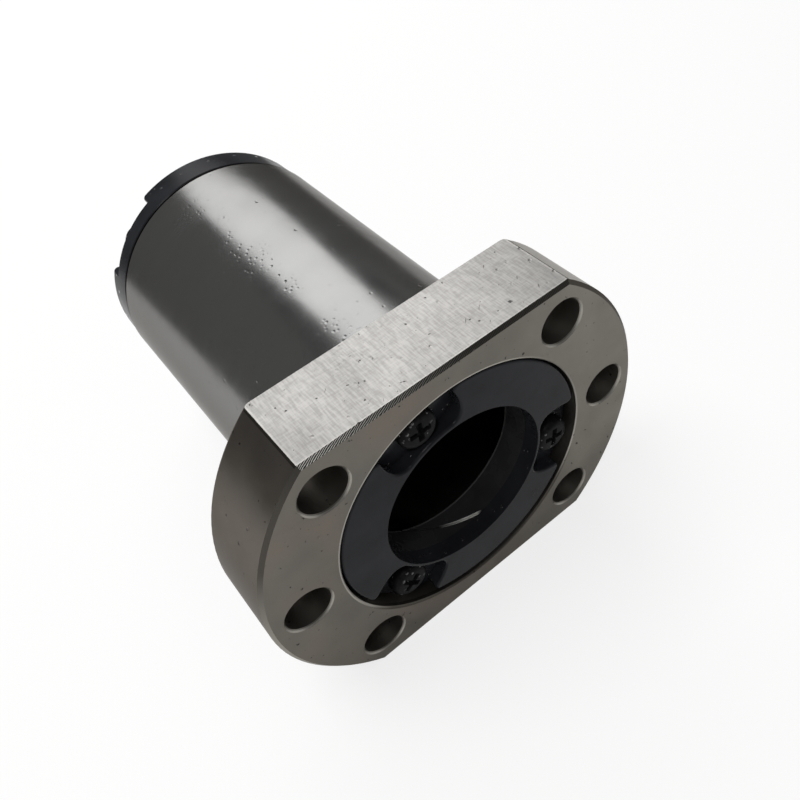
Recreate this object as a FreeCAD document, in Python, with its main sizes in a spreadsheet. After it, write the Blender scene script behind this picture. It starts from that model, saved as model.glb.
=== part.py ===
import FreeCAD, Part
import math
import os
import Sketcher
from FreeCAD import Placement, Rotation, Vector

# Flanged ball nut for a 25 mm ball screw of 25 mm lead, in millimetres.
# Y is the screw's axis, y = 0 the flange's mounting face, Z is square to the flange's two flats.
# The front end is the flange end, at negative y.

doc = FreeCAD.newDocument("ball_nut")

DRIVING_SIZES = {
    # nut body
    "pilot_dia": 40,
    "pilot_edge": 0.4,
    "flange_dia": 62,
    "flange_thick": 12,
    "flats_across": 48,
    "flange_edge": 0.5,
    "recess_edge": 0.15,
    "bolt_hole_dia": 6.6,
    "bolt_flat_wall": 2.67,
    "bolt_edge": 0.3,
    "nut_wall": 6.95,
    # ball thread and its return
    "lead": 25,
    "ball_dia": 3.175,
    "ball_inset": 0.05,
    "ball_gap": 0.03,
    "groove_clear": 0.0325,
    "whole_turns": 2,
    "pick_up_angle": 40,
    "turn_radius": 3.2,
    "channel_clear": 0.16,
    "deflector_wall": 0.4,
    "deflector_skin": 3.465,
    "deflector_clear": 0.03,
    # end caps
    "cap_inset": 0.25,
    "cap_sink": 0.3,
    "cap_height": 5.2,
    "cap_lip": 0.15,
    "cap_edge": 0.35,
    "cap_foot": 0.4,
    "recess_clear": 0.35,
    "pocket_room": 3.2,
    "pocket_depth": 2.1,
    "pocket_floor": 0.6,
    "pocket_corner": 2,
    "mouth_corner": 0.8,
    "collar_wall": 0.6,
    # cap screws
    "screw_angle": 106,
    "collar_room": 0.2,
    "seat_wall": 0.4,
    "screw_dia": 3,
    "screw_length": 10,
    "screw_tip": 0.5,
    "head_dia": 5.6,
    "head_height": 1.9,
    "head_round": 0.9,
    "drive_width": 0.8,
    "drive_span": 3.1,
    "drive_depth": 1.1,
    "screw_play": 0.1,
    "thread_play": 0.05,
    "tapping_spare": 1.5,
    # wiper rings
    "wiper_wall": 1.6,
    "wiper_in_nut": 1.8,
    "wiper_clear": 0.05,
    "split_angle": 258,
    "split_slope": 20,
    "split_gap": 0.25,
}

WORKED_OUT = {
    # flange
    "bolt_circle": "=(sizes.pilot_dia + sizes.flange_dia) / 2",
    "bolt_rise": "=sizes.flats_across / 2 - sizes.bolt_flat_wall - sizes.bolt_hole_dia / 2",
    "bolt_reach": "=sqrt((bolt_circle / 2) ^ 2 - bolt_rise ^ 2)",
    "rim_wall": "=(sizes.flange_dia - bolt_circle - sizes.bolt_hole_dia) / 2",
    "flange_chamfer": "=min(sizes.flange_edge; rim_wall / 3)",
    "bolt_chamfer": "=min(sizes.bolt_edge; rim_wall / 3)",
    # bores, from the outside inwards
    "nut_bore": "=sizes.pilot_dia - 2 * sizes.nut_wall",
    "ball_circle": "=nut_bore - 2 * sizes.ball_inset",
    "cap_bore": "=nut_bore - 2 * sizes.cap_lip",
    "collar_radius": "=cap_bore / 2 + sizes.collar_wall",
    "wiper_dia": "=cap_bore + 2 * sizes.wiper_wall",
    "wiper_seat": "=wiper_dia / 2 + sizes.wiper_clear",
    # ball thread and its return
    "slope": "=sizes.lead / (pi * ball_circle)",
    "helix_angle": "=atan(slope)",
    "groove_radius": "=sizes.ball_dia / 2 + sizes.groove_clear",
    "channel_radius": "=sizes.ball_dia / 2 + sizes.channel_clear",
    "return_radius": "=ball_circle / 2 / cos(sizes.pick_up_angle * 1 deg)",
    "tangent_run": "=ball_circle / 2 * tan(sizes.pick_up_angle * 1 deg)",
    "tangent_rise": "=tangent_run * slope",
    "turn_tangent": "=sizes.turn_radius * tan((90 deg + helix_angle) / 2)",
    "slot_depth": "=sizes.deflector_skin + channel_radius + sizes.turn_radius",
    "pick_up_depth": "=slot_depth - turn_tangent + tangent_rise",
    "loaded_turns": "=sizes.whole_turns - sizes.pick_up_angle / 180",
    "steel_length": "=sizes.lead * loaded_turns + 2 * pick_up_depth",
    # caps and their screws, which clear both the wiper's seat and the collar
    "cap_radius": "=sizes.pilot_dia / 2 - sizes.cap_inset",
    "recess_radius": "=cap_radius + sizes.recess_clear",
    "pocket_radius": "=sizes.head_dia / 2 + sizes.pocket_room",
    "corner_radius": "=min(sizes.pocket_corner; pocket_radius / 2)",
    "tapped_radius": "=sizes.screw_dia / 2 + sizes.thread_play",
    "ring_by_seat": "=wiper_seat + sizes.seat_wall + tapped_radius",
    "ring_by_head": "=collar_radius + sizes.collar_room + sizes.head_dia / 2",
    "screw_ring": "=max(ring_by_seat; ring_by_head)",
    # stations along the axis
    "y_front": "=-sizes.flange_thick",
    "y_land": "=y_front + sizes.cap_sink",
    "y_pocket": "=y_land + sizes.pocket_depth",
    "y_shoulder": "=y_land + sizes.cap_height",
    "y_wiper_front": "=y_pocket + sizes.pocket_floor",
    "y_wiper_back": "=y_shoulder + sizes.wiper_in_nut",
    "y_slot": "=y_shoulder + slot_depth",
    "y_rear": "=y_shoulder + steel_length",
    "y_rear_wiper": "=y_rear - sizes.wiper_in_nut",
    "y_turned_over": "=y_shoulder + y_rear",
    "tapping_depth": "=sizes.screw_length - sizes.cap_height + sizes.pocket_depth + sizes.tapping_spare",
}


def fill_sheet(name, cells):
    """Makes a spreadsheet with one named cell per row."""
    sheet = doc.addObject("Spreadsheet::Sheet", name)
    for row, (alias, content) in enumerate(cells.items(), 1):
        sheet.set(f"A{row}", alias)
        sheet.set(f"B{row}", str(content))
        sheet.setAlias(f"B{row}", alias)
    return sheet


sizes = fill_sheet("sizes", DRIVING_SIZES)
places = fill_sheet("places", WORKED_OUT)
doc.recompute()


def number(expression):
    """Works out an expression of sheet cells as a plain number, in millimetres or degrees."""
    result = places.evalExpression(expression)
    return float(getattr(result, "Value", result))


def around(radius, angle, y=0.0):
    """A point at a radius and an angle round the Y axis, turning from X towards Z."""
    turn = math.radians(angle)
    return Vector(radius * math.cos(turn), y, radius * math.sin(turn))


# Turning a front piece over about X, half way along the steel, gives the rear piece
TURNED_OVER = Placement(Vector(0, number("places.y_turned_over"), 0), Rotation(Vector(1, 0, 0), 180))


def origin_feature(body, role):
    """One of the body's own origin planes or axes."""
    return next(feature for feature in body.Origin.OriginFeatures if feature.Role == role)


def new_sketch(body, name, role, y_expression=None, turn=None):
    """A sketch on one of the body's own origin planes, moved along Y or turned round Y if asked."""
    sketch = body.newObject("Sketcher::SketchObject", name)
    sketch.AttachmentSupport = [(origin_feature(body, role), "")]
    sketch.MapMode = "FlatFace"
    if turn:
        y_in_sketch = Vector(0, 0, 1) if role == "XZ_Plane" else Vector(0, -1, 0)
        sketch.AttachmentOffset = Placement(Vector(), Rotation(y_in_sketch, number(turn)))
        sketch.setExpression("AttachmentOffset.Rotation.Angle", turn)
    if y_expression:
        sketch.setExpression("AttachmentOffset.Base.z", f"-({y_expression})")
    return sketch


def bind(sketch, constraint, expression):
    """Adds a dimension to a sketch and ties it to the sheets."""
    index = sketch.addConstraint(constraint)
    sketch.setExpression(f"Constraints[{index}]", expression)


def bind_point(sketch, geometry, end, x_expression, y_expression):
    """Ties one point of a sketch to the sketch's origin in both directions."""
    for kind, expression in (("DistanceX", x_expression), ("DistanceY", y_expression)):
        measured = Sketcher.Constraint(kind, -1, 1, geometry, end, number(expression))
        bind(sketch, measured, expression)


def draw_outline(sketch, corners):
    """A closed outline of straight lines, with every corner bound to the sheets."""
    points = [Vector(number(x), number(y), 0) for x, y in corners]
    count = len(points)
    for i in range(count):
        sketch.addGeometry(Part.LineSegment(points[i], points[(i + 1) % count]), False)
    for i in range(count):
        sketch.addConstraint(Sketcher.Constraint("Coincident", i, 2, (i + 1) % count, 1))
    for i, (x, y) in enumerate(corners):
        bind_point(sketch, i, 1, x, y)


def draw_circles(sketch, radius, centres):
    """Circles of one radius, with their centres bound to the sheets."""
    for x, y in centres:
        centre = Vector(number(x), number(y), 0)
        index = sketch.addGeometry(Part.Circle(centre, Vector(0, 0, 1), number(radius)), False)
        bind(sketch, Sketcher.Constraint("Radius", index, number(radius)), radius)
        bind_point(sketch, index, 3, x, y)


def polar_centres(radius, angles):
    """Hole centres on a circle as pairs of expressions."""
    return [(f"{radius} * cos(({angle}) * 1 deg)", f"{radius} * sin(({angle}) * 1 deg)") for angle in angles]


def revolve(body, name, corners, turn=None):
    """Turns an outline of radius and y once round the Y axis, with its seam at an angle if asked."""
    sketch = new_sketch(body, f"{name}_outline", "XY_Plane", turn=turn)
    draw_outline(sketch, corners)
    feature = body.newObject("PartDesign::Revolution", name)
    feature.Profile = sketch
    feature.ReferenceAxis = (sketch, ["V_Axis"])
    feature.Angle = 360
    doc.recompute()
    return feature


def cut_along_y(body, name, y_expression, depth, draw, towards_front=False, turn=None):
    """Cuts a drawn shape along Y from a plane, and makes sure that it removed material."""
    before = body.Shape.Volume
    sketch = new_sketch(body, f"{name}_outline", "XZ_Plane", y_expression, turn)
    draw(sketch)
    feature = body.newObject("PartDesign::Pocket", name)
    feature.Profile = sketch
    feature.setExpression("Length", depth)
    feature.Reversed = towards_front
    doc.recompute()
    if not body.Shape.Volume < before:
        raise RuntimeError(f"{name} cut nothing")
    return feature


def repeat_round_y(body, name, features, count):
    """Repeats cuts evenly round the Y axis."""
    pattern = body.newObject("PartDesign::PolarPattern", name)
    pattern.Originals = features
    pattern.Axis = (origin_feature(body, "Y_Axis"), [""])
    pattern.Angle = 360
    pattern.Occurrences = count
    body.Tip = pattern
    doc.recompute()


def dress_edges(body, name, kind, size, wanted):
    """Chamfers or fillets the edges of the body for which wanted is true."""
    base = body.Tip
    edges = [f"Edge{i}" for i, edge in enumerate(base.Shape.Edges, 1) if wanted(edge)]
    feature = body.newObject(f"PartDesign::{kind}", name)
    feature.Base = (base, edges)
    feature.setExpression("Size" if kind == "Chamfer" else "Radius", size)
    doc.recompute()
    return feature


def on_plane(edge, y):
    """True for an edge that lies in the plane at this y."""
    box = edge.BoundBox
    return abs(box.YMin - y) < 1e-4 and abs(box.YMax - y) < 1e-4


def mean_radius(edge):
    """Distance from the Y axis of the middle of an edge."""
    first, last = edge.ParameterRange
    middle = edge.valueAt((first + last) / 2)
    return math.hypot(middle.x, middle.z)


FRONT_SCREWS = [f"sizes.screw_angle + {step}" for step in (0, 120, 240)]
REAR_SCREWS = [f"-(sizes.screw_angle + {step})" for step in (0, 120, 240)]


# Helical groove for the balls, cut in spans that follow one another
def make_groove_span(span, spans):
    """One span of the helical ball track, which runs from beyond one end of the steel to beyond the other."""
    radius = number("places.ball_circle / 2")
    lead = number("sizes.lead")
    span_height = f"(places.steel_length + sizes.lead / 2) / {spans}"
    y_start = number("places.y_shoulder") - lead / 4 + span * number(span_height)
    y_pick_up = number("places.y_shoulder + places.pick_up_depth")
    start_angle = 180 - number("sizes.pick_up_angle") + (y_pick_up - y_start) * 360 / lead
    lay_down = Rotation(Vector(0, 1, 0), -start_angle) * Rotation(Vector(1, 0, 0), -90)
    stand = Placement(Vector(0, y_start, 0), lay_down)
    helix = doc.addObject("Part::Helix", f"track_line_{span}")
    helix.setExpression("Pitch", "sizes.lead")
    helix.setExpression("Height", span_height)
    helix.setExpression("Radius", "places.ball_circle / 2")
    helix.Placement = stand
    section = doc.addObject("Part::Circle", f"track_section_{span}")
    section.setExpression("Radius", "places.groove_radius")
    tangent = Vector(0, 2 * math.pi * radius, lead)
    section.Placement = stand * Placement(Vector(radius, 0, 0), Rotation(Vector(0, 0, 1), tangent))
    groove = doc.addObject("Part::Sweep", f"ball_groove_{span}")
    groove.Sections = [section]
    groove.Spine = (helix, [])
    groove.Solid = True
    groove.Frenet = True
    return groove


# Way back for the balls: where they leave the groove, the turn and the straight return
def front_way():
    """Points of the front way out of the groove: pick-up, start, middle and end of the turn."""
    turn_radius = number("sizes.turn_radius")
    tangent = number("places.turn_tangent")
    angle = 180 - number("sizes.pick_up_angle")
    y_pick_up = number("places.y_shoulder + places.pick_up_depth")
    pick_up = around(number("places.ball_circle / 2"), angle, y_pick_up)
    outward = around(1, angle + 90)
    corner = pick_up + outward * number("places.tangent_run")
    corner.y -= number("places.tangent_rise")
    heading = (corner - pick_up).normalize()
    turn_start = corner - heading * tangent
    turn_end = corner + Vector(0, tangent, 0)
    centre = turn_end - outward * turn_radius
    halfway = ((turn_start - centre) + (turn_end - centre)).normalize()
    return pick_up, turn_start, centre + halfway * turn_radius, turn_end


def obround_prism(half_width, y_from, y_to):
    """A prism along Y, with round ends at the pick-up and at the return hole."""
    pick_up, _, _, turn_end = front_way()
    first = Vector(pick_up.x, y_from, pick_up.z)
    last = Vector(turn_end.x, y_from, turn_end.z)
    along = (last - first).normalize()
    side = along.cross(Vector(0, 1, 0)) * half_width
    along = along * half_width
    outline = Part.Wire([
        Part.LineSegment(first + side, last + side).toShape(),
        Part.Arc(last + side, last + along, last - side).toShape(),
        Part.LineSegment(last - side, first - side).toShape(),
        Part.Arc(first - side, first - along, first + side).toShape(),
    ])
    return Part.Face(outline).extrude(Vector(0, y_to - y_from, 0))


def cylinder_along_y(radius, y_from, y_to, x=0.0):
    """A cylinder along Y."""
    return Part.makeCylinder(radius, y_to - y_from, Vector(x, y_from, 0), Vector(0, 1, 0))


def make_return_way():
    """The two deflector slots and the return hole between them, cut into the steel."""
    slot_half = number("places.channel_radius + sizes.deflector_wall")
    slot = obround_prism(slot_half, number("places.y_shoulder"), number("places.y_slot"))
    y_slot = number("places.y_slot")
    y_far_slot = number("places.y_turned_over") - y_slot
    x_return = -number("places.return_radius")
    hole = cylinder_along_y(number("places.channel_radius"), y_slot, y_far_slot, x_return)
    rear_slot = slot.copy()
    rear_slot.Placement = TURNED_OVER.multiply(rear_slot.Placement)
    way = doc.addObject("Part::Feature", "return_way")
    way.Shape = hole.fuse([slot, rear_slot])
    return way


def make_nut_body():
    """The steel body: turned blank, flats, bolt holes, tapped holes, ball groove and return way."""
    body = doc.addObject("PartDesign::Body", "nut_blank")
    bore = "places.nut_bore / 2"
    pilot = "sizes.pilot_dia / 2"
    revolve(body, "turned_blank", [
        (bore, "places.y_wiper_back"),
        ("places.wiper_seat", "places.y_wiper_back"),
        ("places.wiper_seat", "places.y_shoulder"),
        ("places.recess_radius", "places.y_shoulder"),
        ("places.recess_radius", "places.y_front"),
        ("sizes.flange_dia / 2", "places.y_front"),
        ("sizes.flange_dia / 2", "0"),
        (pilot, "0"),
        (pilot, "places.y_rear - sizes.pilot_edge"),
        (f"{pilot} - sizes.pilot_edge", "places.y_rear"),
        ("places.wiper_seat", "places.y_rear"),
        ("places.wiper_seat", "places.y_rear_wiper"),
        (bore, "places.y_rear_wiper"),
    ])

    flange_radius = number("sizes.flange_dia / 2")

    def is_back_rim(edge):
        return on_plane(edge, 0) and abs(mean_radius(edge) - flange_radius) < 1e-4

    dress_edges(body, "back_rim", "Fillet", "places.flange_chamfer", is_back_rim)

    def draw_flats(sketch):
        flat = "sizes.flats_across / 2"
        far = "sizes.flange_dia"
        draw_outline(sketch, [(f"-{far}", flat), (far, flat), (far, far), (f"-{far}", far)])

    top = cut_along_y(body, "top_flat", "places.y_front", "sizes.flange_thick", draw_flats)
    repeat_round_y(body, "both_flats", [top], 2)

    y_front = number("places.y_front")
    inside_rim = number("(places.recess_radius + sizes.flats_across / 2) / 2")

    def is_flange_edge(edge):
        return on_plane(edge, y_front) and mean_radius(edge) > inside_rim

    def is_recess_edge(edge):
        return on_plane(edge, y_front) and mean_radius(edge) < inside_rim

    dress_edges(body, "flange_edges", "Chamfer", "places.flange_chamfer", is_flange_edge)
    dress_edges(body, "recess_edge", "Chamfer", "sizes.recess_edge", is_recess_edge)

    bolt_centres = []
    for side in ("", "-"):
        bolt_centres.append((f"{side}places.bolt_circle / 2", "0"))
        bolt_centres.append((f"{side}places.bolt_reach", "places.bolt_rise"))
        bolt_centres.append((f"{side}places.bolt_reach", "-places.bolt_rise"))

    def draw_bolt_holes(sketch):
        draw_circles(sketch, "sizes.bolt_hole_dia / 2", bolt_centres)

    cut_along_y(body, "bolt_holes", "places.y_front", "sizes.flange_thick", draw_bolt_holes)
    hole_radius = number("sizes.bolt_hole_dia / 2")

    def is_bolt_edge(edge):
        round_edge = isinstance(edge.Curve, Part.Circle) and abs(edge.Curve.Radius - hole_radius) < 1e-4
        return round_edge and (on_plane(edge, y_front) or on_plane(edge, 0))

    dress_edges(body, "bolt_hole_edges", "Chamfer", "places.bolt_chamfer", is_bolt_edge)

    for name, plane, angles, towards_front in (
        ("front_tapped_holes", "places.y_shoulder", FRONT_SCREWS, False),
        ("rear_tapped_holes", "places.y_rear", REAR_SCREWS, True),
    ):
        def draw_tapped_holes(sketch):
            draw_circles(sketch, "places.tapped_radius", polar_centres("places.screw_ring", angles))

        cut_along_y(body, name, plane, "places.tapping_depth", draw_tapped_holes, towards_front)

    bored = doc.addObject("Part::Cut", "bored_nut")
    bored.Base = body
    bored.Tool = make_return_way()
    doc.recompute()
    spans = int(number("sizes.whole_turns")) + 1
    for span in range(spans):
        threaded = doc.addObject("Part::Cut", f"threaded_nut_{span}")
        threaded.Base = bored
        threaded.Tool = make_groove_span(span, spans)
        doc.recompute()
        if not threaded.Shape.Volume < bored.Shape.Volume:
            raise RuntimeError("the ball groove cut nothing")
        bored = threaded
    bored.Label = "nut_body"
    return bored


def make_deflector(label, place):
    """The insert that leads the balls out of the groove and round into the return hole."""
    pick_up, turn_start, turn_middle, turn_end = front_way()
    half_width = number("places.channel_radius + sizes.deflector_wall - sizes.deflector_clear")
    y_shoulder = number("places.y_shoulder")
    y_slot = number("places.y_slot")
    y_wiper = number("places.y_wiper_back")
    overrun = half_width
    block = obround_prism(half_width, y_shoulder, y_slot)
    bore = cylinder_along_y(number("places.nut_bore / 2"), y_shoulder - overrun, y_slot + overrun)
    wiper_room = cylinder_along_y(number("places.wiper_seat"), y_shoulder - overrun, y_wiper)
    heading = (turn_start - pick_up).normalize()
    lead_in = pick_up - heading * 2 * half_width
    run_out = turn_end + Vector(0, overrun, 0)
    line = Part.Wire([
        Part.LineSegment(lead_in, turn_start).toShape(),
        Part.Arc(turn_start, turn_middle, turn_end).toShape(),
        Part.LineSegment(turn_end, run_out).toShape(),
    ])
    section = Part.Wire(Part.Circle(lead_in, heading, number("places.channel_radius")).toShape())
    channel = line.makePipeShell([section], True, True)
    deflector = doc.addObject("Part::Feature", label)
    deflector.Shape = block.cut([bore, wiper_room]).cut(channel)
    deflector.Placement = place
    deflector.Label = label
    return deflector


def make_end_cap(label, place):
    """The moulded end cap: a disc with three screw pockets open at the rim, and a collar round its bore."""
    body = doc.addObject("PartDesign::Body", label)
    bore = "places.cap_bore / 2"
    seam = "sizes.screw_angle - 60"
    revolve(body, f"{label}_disc", [
        (bore, "places.y_land"),
        ("places.cap_radius", "places.y_land"),
        ("places.cap_radius", "places.y_shoulder"),
        ("places.wiper_seat", "places.y_shoulder"),
        ("places.wiper_seat", "places.y_wiper_front"),
        (bore, "places.y_wiper_front"),
    ], turn=seam)

    def draw_pocket(sketch):
        draw_circles(sketch, "places.pocket_radius", [("places.screw_ring", "0")])

    def draw_mouth(sketch):
        near, far, side = "places.screw_ring", "sizes.pilot_dia", "places.pocket_radius"
        draw_outline(sketch, [(near, f"-{side}"), (far, f"-{side}"), (far, side), (near, side)])

    def draw_screw_holes(sketch):
        centres = polar_centres("places.screw_ring", FRONT_SCREWS)
        draw_circles(sketch, "sizes.screw_dia / 2 + sizes.screw_play", centres)

    depth, turn = "sizes.pocket_depth", "sizes.screw_angle"
    cuts = []
    for name, draw in (("pocket", draw_pocket), ("mouth", draw_mouth)):
        cuts.append(cut_along_y(body, f"{label}_{name}", "places.y_land", depth, draw, turn=turn))
    repeat_round_y(body, f"{label}_pockets", cuts, len(FRONT_SCREWS))
    revolve(body, f"{label}_collar", [
        (bore, "places.y_land"),
        ("places.collar_radius", "places.y_land"),
        ("places.collar_radius", "places.y_pocket"),
        (bore, "places.y_pocket"),
    ], turn=seam)
    y_land = number("places.y_land")
    y_pocket = number("places.y_pocket")
    y_shoulder = number("places.y_shoulder")
    rim = number("places.cap_radius")
    collar = number("places.collar_radius")
    inside_collar = number("places.collar_radius - sizes.collar_wall / 2")

    def is_pocket_corner(edge):
        return isinstance(edge.Curve, Part.Line) and abs(mean_radius(edge) - collar) < 1e-4

    def is_mouth_corner(edge):
        upright = isinstance(edge.Curve, Part.Line) and abs(edge.BoundBox.YMax - y_pocket) < 1e-4
        return upright and abs(mean_radius(edge) - rim) < 1e-4

    def is_foot_edge(edge):
        return on_plane(edge, y_shoulder) and abs(mean_radius(edge) - rim) < 1e-4

    def is_land_edge(edge):
        return on_plane(edge, y_land) and mean_radius(edge) > inside_collar

    dress_edges(body, f"{label}_corners", "Fillet", "places.corner_radius", is_pocket_corner)
    dress_edges(body, f"{label}_mouths", "Fillet", "sizes.mouth_corner", is_mouth_corner)
    dress_edges(body, f"{label}_foot", "Chamfer", "sizes.cap_foot", is_foot_edge)
    dress_edges(body, f"{label}_edges", "Fillet", "sizes.cap_edge", is_land_edge)
    cut_along_y(body, f"{label}_holes", "places.y_pocket", "sizes.cap_height", draw_screw_holes)
    body.Placement = place
    body.Label = label
    return body


def make_wiper(label, place):
    """The split wiper ring, half in the cap and half in the nut."""
    body = doc.addObject("PartDesign::Body", f"{label}_blank")
    bore = "places.cap_bore / 2"
    rim = "places.wiper_dia / 2"
    revolve(body, f"{label}_ring", [
        (bore, "places.y_wiper_front"),
        (rim, "places.y_wiper_front"),
        (rim, "places.y_wiper_back"),
        (bore, "places.y_wiper_back"),
    ])
    length = number("places.wiper_dia / 2")
    gap = number("sizes.split_gap")
    blade = doc.addObject("Part::Box", f"{label}_split")
    blade.setExpression("Length", "places.wiper_dia / 2")
    blade.setExpression("Width", "sizes.split_gap")
    blade.setExpression("Height", "places.wiper_dia")
    middle = number("(places.y_wiper_front + places.y_wiper_back) / 2")
    lean = Rotation(Vector(1, 0, 0), number("sizes.split_slope"))
    swing = Rotation(Vector(0, 1, 0), -number("sizes.split_angle"))
    inside = Placement(around(length / 2, number("sizes.split_angle"), middle), swing * lean)
    blade.Placement = inside * Placement(Vector(0, -gap / 2, -length), Rotation())
    ring = doc.addObject("Part::Cut", label)
    ring.Base = body
    ring.Tool = blade
    ring.Placement = place
    ring.Label = label
    doc.recompute()
    return ring


def make_cap_screw(label, place):
    """A pan-head screw with a cross drive, its head's seat at y = 0 and its shank along Y."""
    body = doc.addObject("PartDesign::Body", label)
    shank = "sizes.screw_dia / 2"
    head = "sizes.head_dia / 2"
    revolve(body, f"{label}_turned", [
        ("0", "-sizes.head_height"),
        (head, "-sizes.head_height"),
        (head, "0"),
        (shank, "0"),
        (shank, "sizes.screw_length - sizes.screw_tip"),
        (f"{shank} - sizes.screw_tip", "sizes.screw_length"),
        ("0", "sizes.screw_length"),
    ])
    y_top = number("-sizes.head_height")

    def is_head_edge(edge):
        return on_plane(edge, y_top) and isinstance(edge.Curve, Part.Circle)

    dress_edges(body, f"{label}_dome", "Fillet", "sizes.head_round", is_head_edge)

    def draw_cross(sketch):
        wide = "sizes.drive_span / 2"
        thin = "sizes.drive_width / 2"
        quarter = [(wide, f"-{thin}"), (wide, thin), (thin, thin), (thin, wide), (f"-{thin}", wide)]
        half = quarter + [(f"-{thin}", thin), (f"-{wide}", thin)]
        rest = [(f"-{wide}", f"-{thin}"), (f"-{thin}", f"-{thin}"), (f"-{thin}", f"-{wide}")]
        draw_outline(sketch, half + rest + [(thin, f"-{wide}"), (thin, f"-{thin}")])

    cut_along_y(body, f"{label}_drive", "-sizes.head_height", "sizes.drive_depth", draw_cross)
    body.Placement = place
    body.Label = label
    return body


# Balls all round their closed circuit
def circuit_points(step=0.01):
    """Close-set points of the balls' closed path, each with the name of its stretch."""
    radius = number("places.ball_circle / 2")
    lead = number("sizes.lead")
    turns = number("places.loaded_turns")
    start_angle = 180 - number("sizes.pick_up_angle")
    pick_up, turn_start, turn_middle, turn_end = front_way()

    def along(edge):
        return edge.discretize(Distance=step)

    count = int(turns * math.hypot(2 * math.pi * radius, lead) / step)
    helix = []
    for i in range(count + 1):
        part = turns * i / count
        helix.append(around(radius, start_angle - 360 * part, pick_up.y + lead * part))
    way_out = along(Part.LineSegment(pick_up, turn_start).toShape())
    way_out += along(Part.Arc(turn_start, turn_middle, turn_end).toShape())
    rear_way = [TURNED_OVER.multVec(point) for point in way_out]
    back = along(Part.LineSegment(rear_way[-1], way_out[-1]).toShape())
    stretches = (
        ("loaded_balls", helix),
        ("rear_turn_balls", rear_way),
        ("return_balls", back),
        ("front_turn_balls", way_out[::-1]),
    )
    return [(name, point) for name, points in stretches for point in points]


def make_balls():
    """The balls, one gap apart along the circuit, as one group for each stretch."""
    pitch = number("sizes.ball_dia + sizes.ball_gap")
    set_out = []
    for name, point in circuit_points():
        if not set_out or (point - set_out[-1][1]).Length >= pitch:
            set_out.append((name, point))
    if (set_out[-1][1] - set_out[0][1]).Length < pitch:
        set_out.pop()
    stretches = {}
    for index, (name, point) in enumerate(set_out, 1):
        ball = doc.addObject("Part::Sphere", f"ball_{index}")
        ball.setExpression("Radius", "sizes.ball_dia / 2")
        ball.Placement = Placement(point, Rotation())
        stretches.setdefault(name, []).append(ball)
    groups = []
    for name, balls in stretches.items():
        group = doc.addObject("Part::Compound", name)
        group.Links = balls
        group.Label = name
        groups.append(group)
    return groups


pieces = [make_nut_body()]
for end, end_place in (("front", Placement()), ("rear", TURNED_OVER)):
    pieces.append(make_end_cap(f"{end}_end_cap", end_place))
    pieces.append(make_wiper(f"{end}_wiper", end_place))
    pieces.append(make_deflector(f"{end}_deflector", end_place))
    for position, angle_expression in enumerate(FRONT_SCREWS, 1):
        seat = around(number("places.screw_ring"), number(angle_expression), number("places.y_pocket"))
        pieces.append(make_cap_screw(f"{end}_cap_screw_{position}", end_place * Placement(seat, Rotation())))
pieces += make_balls()
doc.recompute()

for item in doc.Objects:
    if "Invalid" in item.State or "Error" in item.State:
        raise RuntimeError(f"{item.Label} is not sound: {item.State}")
for piece in pieces:
    if piece.Shape.isNull() or not piece.Shape.isValid():
        raise RuntimeError(f"{piece.Label} has no valid shape")

os.makedirs("parts", exist_ok=True)
for piece in pieces:
    piece.Shape.exportStep(f"parts/{piece.Label}.step")
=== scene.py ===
"""Looks of a flanged ball nut.

Finishes for its steel and plastic pieces, modelled screws and balls, and a stage.
"""

import math
from functools import partial

import bpy
import numpy as np
from mathutils import Matrix, Vector


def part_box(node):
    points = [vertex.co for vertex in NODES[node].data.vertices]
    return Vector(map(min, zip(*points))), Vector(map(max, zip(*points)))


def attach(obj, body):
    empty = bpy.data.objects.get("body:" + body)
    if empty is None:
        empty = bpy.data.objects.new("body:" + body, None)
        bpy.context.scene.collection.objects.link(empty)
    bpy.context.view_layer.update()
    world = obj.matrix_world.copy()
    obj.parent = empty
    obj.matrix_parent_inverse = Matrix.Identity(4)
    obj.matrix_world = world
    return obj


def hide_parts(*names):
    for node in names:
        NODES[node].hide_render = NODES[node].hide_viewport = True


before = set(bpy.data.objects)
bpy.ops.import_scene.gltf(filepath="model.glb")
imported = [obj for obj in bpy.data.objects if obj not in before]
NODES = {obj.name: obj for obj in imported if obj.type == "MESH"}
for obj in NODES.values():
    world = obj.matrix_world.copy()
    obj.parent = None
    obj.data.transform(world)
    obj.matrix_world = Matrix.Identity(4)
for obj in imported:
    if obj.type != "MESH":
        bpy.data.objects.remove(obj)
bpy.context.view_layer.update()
MM = 0.001

bl_info = {
    "name": "Flanged ball nut",
    "version": (1, 0, 0),
    "blender": (4, 5, 0),
    "location": "3D View > Sidebar > Ball nut",
    "description": "Finishes, screws, balls and stage of a flanged ball nut",
    "category": "Object",
}

ENDS = ("front", "rear")
SCREWS = [f"{end}_cap_screw_{place}" for end in ENDS for place in (1, 2, 3)]
BALL_GROUPS = ["loaded_balls", "rear_turn_balls", "return_balls", "front_turn_balls"]

# Places on the nut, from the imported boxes
BODY_LOW, BODY_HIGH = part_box("nut_body")
FLANGE_FRONT = BODY_LOW[1]
RIM_RADIUS = BODY_HIGH[0]
FLAT_HEIGHT = BODY_HIGH[2]
FLOOR_LEVEL = BODY_LOW[2]
NUT_MIDDLE = (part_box("front_end_cap")[0][1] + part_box("rear_end_cap")[1][1]) / 2

# How finely the modelled screws and balls are divided
SCREW_COLUMNS = 96
CROWN_ROWS = 34
ROUND_ROWS = 9
SHANK_ROWS = 150
TIP_ROWS = 5
BALL_ROWS = 20
BALL_COLUMNS = 32


def linear(hex_colour):
    """An sRGB hex colour as linear red, green and blue."""
    srgb = np.array([int(hex_colour[place:place + 2], 16) for place in (1, 3, 5)]) / 255
    parts = np.where(srgb <= 0.04045, srgb / 12.92, ((srgb + 0.055) / 1.055) ** 2.4)
    return tuple(float(part) for part in parts)


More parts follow.
